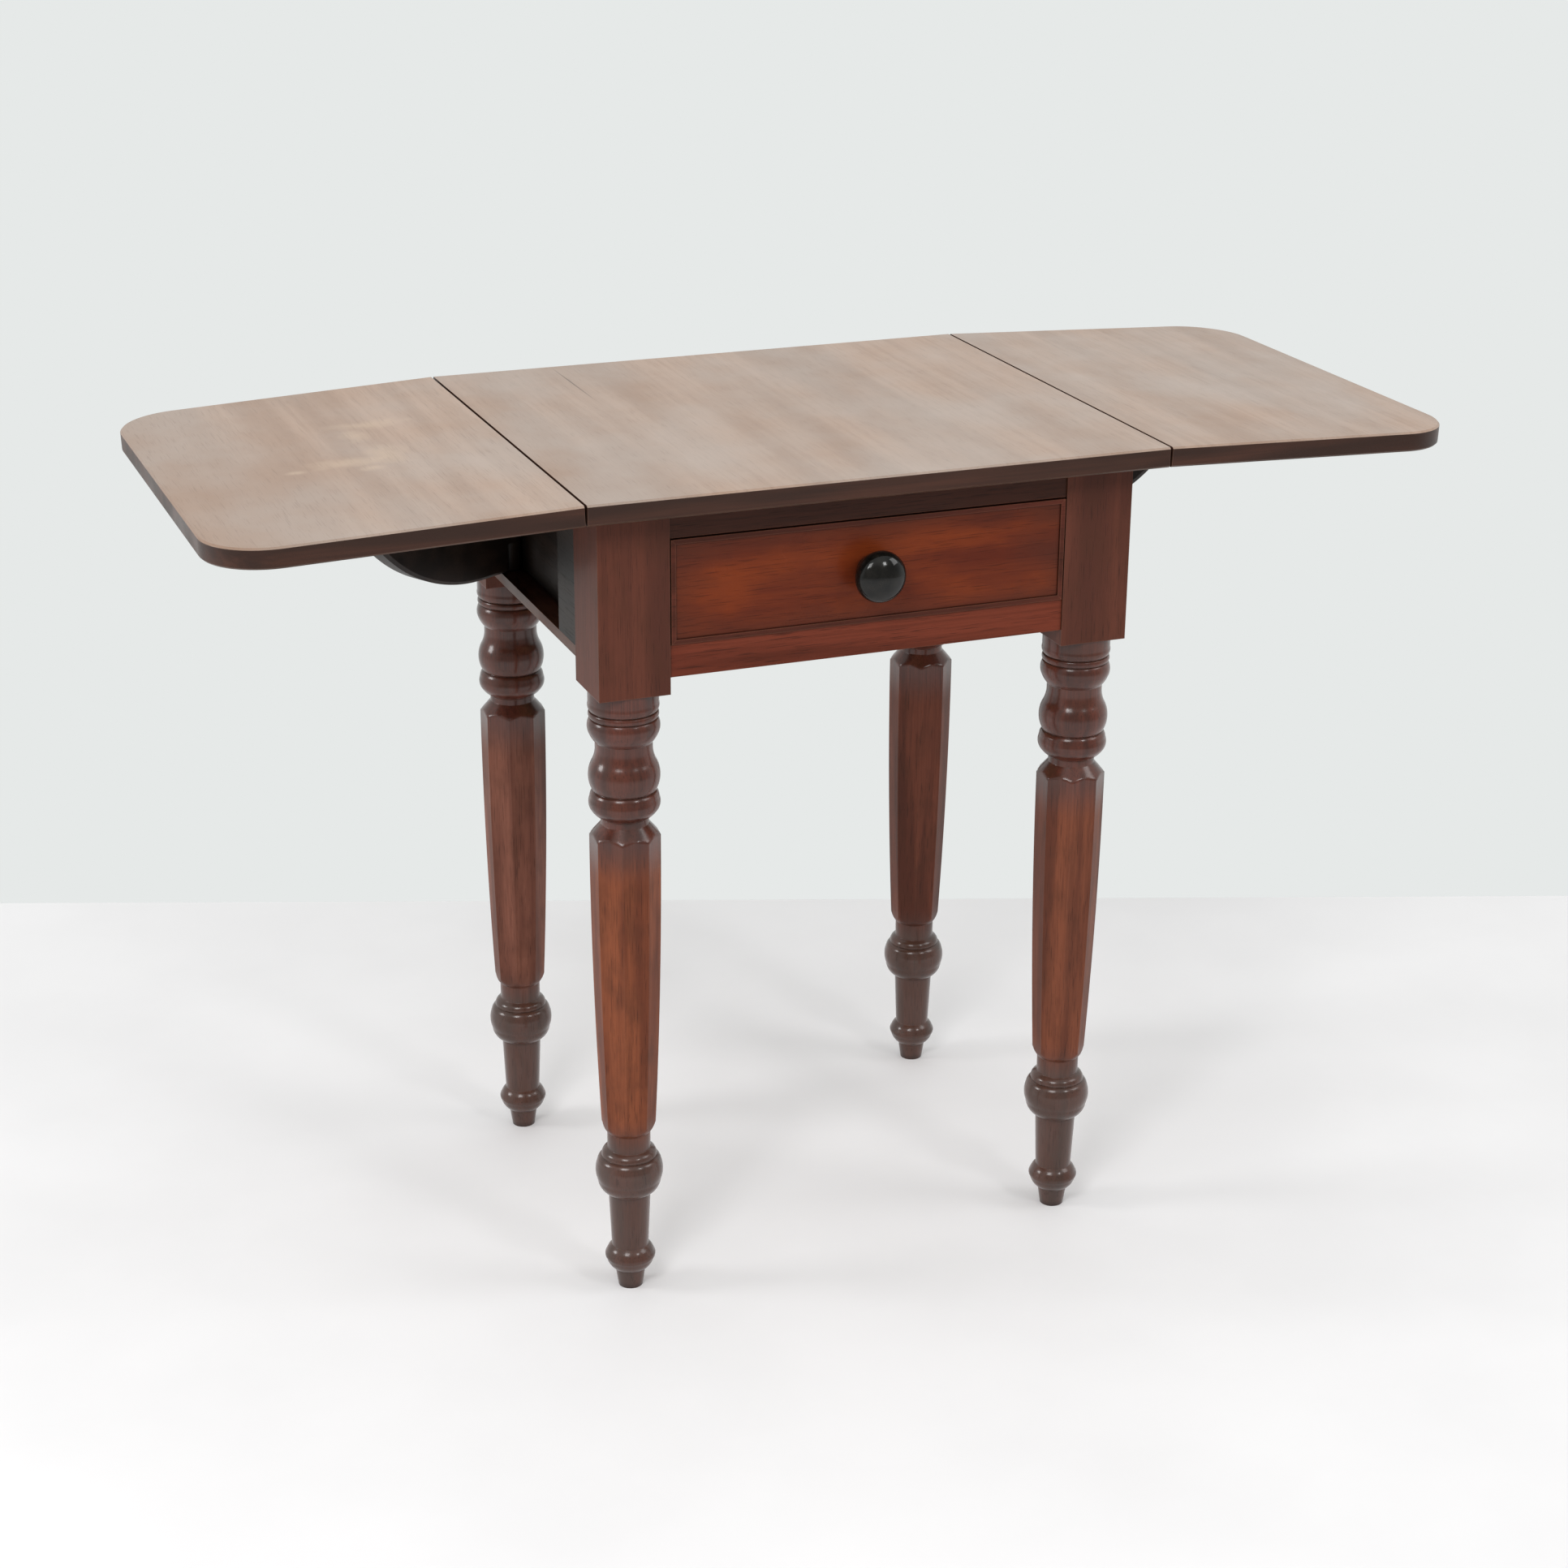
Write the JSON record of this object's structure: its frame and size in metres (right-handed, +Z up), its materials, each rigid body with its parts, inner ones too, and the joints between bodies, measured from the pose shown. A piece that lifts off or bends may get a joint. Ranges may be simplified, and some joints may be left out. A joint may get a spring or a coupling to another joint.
{
  "type": "drop-leaf side table",
  "caption": "Wooden drop-leaf side table with a frieze drawer, hinged leaves on swinging wooden flies, and turned legs with eight-sided shafts.",
  "frame": {"origin": "on the floor, below the middle of the centre top", "axes": "+X to the right seen from the drawer side, +Y from the drawer to the back, +Z up"},
  "size_m": [1.072, 0.44, 0.72],
  "materials": {
    "mahogany_boards": "old French polish, worn to a grey sheen",
    "mahogany_frame": "dark red French polish",
    "mahogany_drawer": "glowing red-brown French polish",
    "secondary_wood": "planed and unfinished, aged",
    "fly_wood": "dark stain, waxed",
    "ebonised_wood": "black gloss polish",
    "brass": "old brass, dull",
    "steel": "dark plain steel"
  },
  "bodies": {
    "frame": {"back_rail": "secondary_wood", "bed_strip_left": "mahogany_frame", "bed_strip_right": "mahogany_frame", "centre_top": "mahogany_boards", "drawer_stops": "secondary_wood", "end_block_left": "fly_wood", "end_block_right": "fly_wood", "fly_pin_left": "steel", "fly_pin_right": "steel", "guide_left": "secondary_wood", "guide_right": "secondary_wood", "hinge_block_left": "fly_wood", "hinge_block_right": "fly_wood", "hinge_pins": "steel", "inner_rail_left": "secondary_wood", "inner_rail_right": "secondary_wood", "kicker_left": "secondary_wood", "kicker_right": "secondary_wood", "leg_front_left": "mahogany_frame", "leg_front_right": "mahogany_frame", "leg_rear_left": "mahogany_frame", "leg_rear_right": "mahogany_frame", "low_rail": "mahogany_frame", "runner_left": "secondary_wood", "runner_right": "secondary_wood", "top_flaps": "brass", "top_rail": "mahogany_frame"},
    "drawer": {"drawer_back": "secondary_wood", "drawer_beads": "mahogany_drawer", "drawer_bottom": "secondary_wood", "drawer_front": "mahogany_drawer", "drawer_knob": "ebonised_wood", "drawer_side_left": "secondary_wood", "drawer_side_right": "secondary_wood"},
    "leaf_left": {"leaf_flaps_left": "brass", "leaf_left": "mahogany_boards"},
    "leaf_right": {"leaf_flaps_right": "brass", "leaf_right": "mahogany_boards"},
    "fly_left": {"fly_left": "fly_wood"},
    "fly_right": {"fly_right": "fly_wood"}
  },
  "joints": [
    {"name": "drawer_slide", "type": "slide", "parent": "frame", "child": "drawer", "axis": [0, -1, 0], "range_m": [0, 0.23]},
    {"name": "leaf_right_fall", "type": "hinge", "parent": "frame", "child": "leaf_right", "pos_m": [0.2508, 0, 0.703], "axis": [0, 1, 0], "range_deg": [0, 85.7]},
    {"name": "leaf_left_fall", "type": "hinge", "parent": "frame", "child": "leaf_left", "pos_m": [-0.2508, 0, 0.703], "axis": [0, -1, 0], "range_deg": [0, 85.7]},
    {"name": "fly_right_swing", "type": "hinge", "parent": "frame", "child": "fly_right", "pos_m": [0.219, 0.1, 0.64], "axis": [0, 0, -1], "range_deg": [0, 60]},
    {"name": "fly_left_swing", "type": "hinge", "parent": "frame", "child": "fly_left", "pos_m": [-0.219, 0.1, 0.64], "axis": [0, 0, 1], "range_deg": [0, 60]}
  ],
  "couplings": [
    {"joint": "fly_right_swing", "follows": "leaf_right_fall", "ratio": 0.7},
    {"joint": "fly_left_swing", "follows": "leaf_left_fall", "ratio": 0.7}
  ]
}
